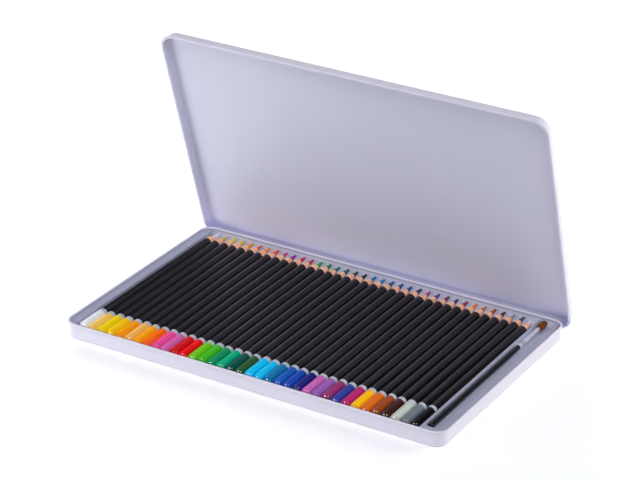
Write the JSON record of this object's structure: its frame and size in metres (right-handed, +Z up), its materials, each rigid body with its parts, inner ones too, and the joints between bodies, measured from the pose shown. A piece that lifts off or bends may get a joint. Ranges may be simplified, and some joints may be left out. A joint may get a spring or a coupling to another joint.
{
  "type": "colored pencil tin",
  "caption": "Flat hinged steel tin with a formed plastic tray, a row of round colored pencils with dipped caps and a slim watercolour brush.",
  "frame": {"origin": "centre of the flat underside of the base", "axes": "+X along the length of the tin, from the white pencil to the brush; +Y from the capped pencil ends to the hinge; +Z up from the surface the tin rests on"},
  "size_m": [0.3012, 0.1919, 0.1819],
  "materials": {
    "painted_tin": "satin white",
    "painted_lid": "satin white",
    "pin_steel": "drawn wire",
    "tray_plastic": "formed grey sheet",
    "pencil_01": "lacquered barrel, dipped cap",
    "pencil_02": "lacquered barrel, dipped cap",
    "pencil_03": "lacquered barrel, dipped cap",
    "pencil_04": "lacquered barrel, dipped cap",
    "pencil_05": "lacquered barrel, dipped cap",
    "pencil_06": "lacquered barrel, dipped cap",
    "pencil_07": "lacquered barrel, dipped cap",
    "pencil_08": "lacquered barrel, dipped cap",
    "pencil_09": "lacquered barrel, dipped cap",
    "pencil_10": "lacquered barrel, dipped cap",
    "pencil_11": "lacquered barrel, dipped cap",
    "pencil_12": "lacquered barrel, dipped cap",
    "pencil_13": "lacquered barrel, dipped cap",
    "pencil_14": "lacquered barrel, dipped cap",
    "pencil_15": "lacquered barrel, dipped cap",
    "pencil_16": "lacquered barrel, dipped cap",
    "pencil_17": "lacquered barrel, dipped cap",
    "pencil_18": "lacquered barrel, dipped cap",
    "pencil_19": "lacquered barrel, dipped cap",
    "pencil_20": "lacquered barrel, dipped cap",
    "pencil_21": "lacquered barrel, dipped cap",
    "pencil_22": "lacquered barrel, dipped cap",
    "pencil_23": "lacquered barrel, dipped cap",
    "pencil_24": "lacquered barrel, dipped cap",
    "pencil_25": "lacquered barrel, dipped cap",
    "pencil_26": "lacquered barrel, dipped cap",
    "pencil_27": "lacquered barrel, dipped cap",
    "pencil_28": "lacquered barrel, dipped cap",
    "pencil_29": "lacquered barrel, dipped cap",
    "pencil_30": "lacquered barrel, dipped cap",
    "pencil_31": "lacquered barrel, dipped cap",
    "pencil_32": "lacquered barrel, dipped cap",
    "pencil_33": "lacquered barrel, dipped cap",
    "pencil_34": "lacquered barrel, dipped cap",
    "pencil_35": "lacquered barrel, dipped cap",
    "pencil_36": "lacquered barrel, dipped cap",
    "lacquered_handle": "gloss black lacquer",
    "ferrule_metal": "bright",
    "brown_hair": "soft hair"
  },
  "bodies": {
    "base": {"tin_base": "painted_tin", "hinge_pin_left": "pin_steel", "hinge_pin_right": "pin_steel"},
    "lid": {"tin_lid": "painted_lid"},
    "tray": {"pencil_tray": "tray_plastic"},
    "pencil_01_body": {"pencil_01": "pencil_01"},
    "pencil_02_body": {"pencil_02": "pencil_02"},
    "pencil_03_body": {"pencil_03": "pencil_03"},
    "pencil_04_body": {"pencil_04": "pencil_04"},
    "pencil_05_body": {"pencil_05": "pencil_05"},
    "pencil_06_body": {"pencil_06": "pencil_06"},
    "pencil_07_body": {"pencil_07": "pencil_07"},
    "pencil_08_body": {"pencil_08": "pencil_08"},
    "pencil_09_body": {"pencil_09": "pencil_09"},
    "pencil_10_body": {"pencil_10": "pencil_10"},
    "pencil_11_body": {"pencil_11": "pencil_11"},
    "pencil_12_body": {"pencil_12": "pencil_12"},
    "pencil_13_body": {"pencil_13": "pencil_13"},
    "pencil_14_body": {"pencil_14": "pencil_14"},
    "pencil_15_body": {"pencil_15": "pencil_15"},
    "pencil_16_body": {"pencil_16": "pencil_16"},
    "pencil_17_body": {"pencil_17": "pencil_17"},
    "pencil_18_body": {"pencil_18": "pencil_18"},
    "pencil_19_body": {"pencil_19": "pencil_19"},
    "pencil_20_body": {"pencil_20": "pencil_20"},
    "pencil_21_body": {"pencil_21": "pencil_21"},
    "pencil_22_body": {"pencil_22": "pencil_22"},
    "pencil_23_body": {"pencil_23": "pencil_23"},
    "pencil_24_body": {"pencil_24": "pencil_24"},
    "pencil_25_body": {"pencil_25": "pencil_25"},
    "pencil_26_body": {"pencil_26": "pencil_26"},
    "pencil_27_body": {"pencil_27": "pencil_27"},
    "pencil_28_body": {"pencil_28": "pencil_28"},
    "pencil_29_body": {"pencil_29": "pencil_29"},
    "pencil_30_body": {"pencil_30": "pencil_30"},
    "pencil_31_body": {"pencil_31": "pencil_31"},
    "pencil_32_body": {"pencil_32": "pencil_32"},
    "pencil_33_body": {"pencil_33": "pencil_33"},
    "pencil_34_body": {"pencil_34": "pencil_34"},
    "pencil_35_body": {"pencil_35": "pencil_35"},
    "pencil_36_body": {"pencil_36": "pencil_36"},
    "brush": {"brush_handle": "lacquered_handle", "brush_ferrule": "ferrule_metal", "brush_hair": "brown_hair"}
  },
  "joints": [
    {"name": "lid_hinge", "type": "hinge", "parent": "base", "child": "lid", "pos_m": [0, 0.09292, 0.00405], "axis": [-1, 0, 0], "range_deg": [-71.6, 48.4]},
    {"name": "tray_lift", "type": "slide", "parent": "base", "child": "tray", "axis": [0, 0, 1], "range_m": [0, 0.025]},
    {"name": "pencil_01_lift", "type": "slide", "parent": "tray", "child": "pencil_01_body", "axis": [0, 0, 1], "range_m": [0, 0.025]},
    {"name": "pencil_02_lift", "type": "slide", "parent": "tray", "child": "pencil_02_body", "axis": [0, 0, 1], "range_m": [0, 0.025]},
    {"name": "pencil_03_lift", "type": "slide", "parent": "tray", "child": "pencil_03_body", "axis": [0, 0, 1], "range_m": [0, 0.025]},
    {"name": "pencil_04_lift", "type": "slide", "parent": "tray", "child": "pencil_04_body", "axis": [0, 0, 1], "range_m": [0, 0.025]},
    {"name": "pencil_05_lift", "type": "slide", "parent": "tray", "child": "pencil_05_body", "axis": [0, 0, 1], "range_m": [0, 0.025]},
    {"name": "pencil_06_lift", "type": "slide", "parent": "tray", "child": "pencil_06_body", "axis": [0, 0, 1], "range_m": [0, 0.025]},
    {"name": "pencil_07_lift", "type": "slide", "parent": "tray", "child": "pencil_07_body", "axis": [0, 0, 1], "range_m": [0, 0.025]},
    {"name": "pencil_08_lift", "type": "slide", "parent": "tray", "child": "pencil_08_body", "axis": [0, 0, 1], "range_m": [0, 0.025]},
    {"name": "pencil_09_lift", "type": "slide", "parent": "tray", "child": "pencil_09_body", "axis": [0, 0, 1], "range_m": [0, 0.025]},
    {"name": "pencil_10_lift", "type": "slide", "parent": "tray", "child": "pencil_10_body", "axis": [0, 0, 1], "range_m": [0, 0.025]},
    {"name": "pencil_11_lift", "type": "slide", "parent": "tray", "child": "pencil_11_body", "axis": [0, 0, 1], "range_m": [0, 0.025]},
    {"name": "pencil_12_lift", "type": "slide", "parent": "tray", "child": "pencil_12_body", "axis": [0, 0, 1], "range_m": [0, 0.025]},
    {"name": "pencil_13_lift", "type": "slide", "parent": "tray", "child": "pencil_13_body", "axis": [0, 0, 1], "range_m": [0, 0.025]},
    {"name": "pencil_14_lift", "type": "slide", "parent": "tray", "child": "pencil_14_body", "axis": [0, 0, 1], "range_m": [0, 0.025]},
    {"name": "pencil_15_lift", "type": "slide", "parent": "tray", "child": "pencil_15_body", "axis": [0, 0, 1], "range_m": [0, 0.025]},
    {"name": "pencil_16_lift", "type": "slide", "parent": "tray", "child": "pencil_16_body", "axis": [0, 0, 1], "range_m": [0, 0.025]},
    {"name": "pencil_17_lift", "type": "slide", "parent": "tray", "child": "pencil_17_body", "axis": [0, 0, 1], "range_m": [0, 0.025]},
    {"name": "pencil_18_lift", "type": "slide", "parent": "tray", "child": "pencil_18_body", "axis": [0, 0, 1], "range_m": [0, 0.025]},
    {"name": "pencil_19_lift", "type": "slide", "parent": "tray", "child": "pencil_19_body", "axis": [0, 0, 1], "range_m": [0, 0.025]},
    {"name": "pencil_20_lift", "type": "slide", "parent": "tray", "child": "pencil_20_body", "axis": [0, 0, 1], "range_m": [0, 0.025]},
    {"name": "pencil_21_lift", "type": "slide", "parent": "tray", "child": "pencil_21_body", "axis": [0, 0, 1], "range_m": [0, 0.025]},
    {"name": "pencil_22_lift", "type": "slide", "parent": "tray", "child": "pencil_22_body", "axis": [0, 0, 1], "range_m": [0, 0.025]},
    {"name": "pencil_23_lift", "type": "slide", "parent": "tray", "child": "pencil_23_body", "axis": [0, 0, 1], "range_m": [0, 0.025]},
    {"name": "pencil_24_lift", "type": "slide", "parent": "tray", "child": "pencil_24_body", "axis": [0, 0, 1], "range_m": [0, 0.025]},
    {"name": "pencil_25_lift", "type": "slide", "parent": "tray", "child": "pencil_25_body", "axis": [0, 0, 1], "range_m": [0, 0.025]},
    {"name": "pencil_26_lift", "type": "slide", "parent": "tray", "child": "pencil_26_body", "axis": [0, 0, 1], "range_m": [0, 0.025]},
    {"name": "pencil_27_lift", "type": "slide", "parent": "tray", "child": "pencil_27_body", "axis": [0, 0, 1], "range_m": [0, 0.025]},
    {"name": "pencil_28_lift", "type": "slide", "parent": "tray", "child": "pencil_28_body", "axis": [0, 0, 1], "range_m": [0, 0.025]},
    {"name": "pencil_29_lift", "type": "slide", "parent": "tray", "child": "pencil_29_body", "axis": [0, 0, 1], "range_m": [0, 0.025]},
    {"name": "pencil_30_lift", "type": "slide", "parent": "tray", "child": "pencil_30_body", "axis": [0, 0, 1], "range_m": [0, 0.025]},
    {"name": "pencil_31_lift", "type": "slide", "parent": "tray", "child": "pencil_31_body", "axis": [0, 0, 1], "range_m": [0, 0.025]},
    {"name": "pencil_32_lift", "type": "slide", "parent": "tray", "child": "pencil_32_body", "axis": [0, 0, 1], "range_m": [0, 0.025]},
    {"name": "pencil_33_lift", "type": "slide", "parent": "tray", "child": "pencil_33_body", "axis": [0, 0, 1], "range_m": [0, 0.025]},
    {"name": "pencil_34_lift", "type": "slide", "parent": "tray", "child": "pencil_34_body", "axis": [0, 0, 1], "range_m": [0, 0.025]},
    {"name": "pencil_35_lift", "type": "slide", "parent": "tray", "child": "pencil_35_body", "axis": [0, 0, 1], "range_m": [0, 0.025]},
    {"name": "pencil_36_lift", "type": "slide", "parent": "tray", "child": "pencil_36_body", "axis": [0, 0, 1], "range_m": [0, 0.025]},
    {"name": "brush_lift", "type": "slide", "parent": "tray", "child": "brush", "axis": [0, 0, 1], "range_m": [0, 0.025]}
  ]
}
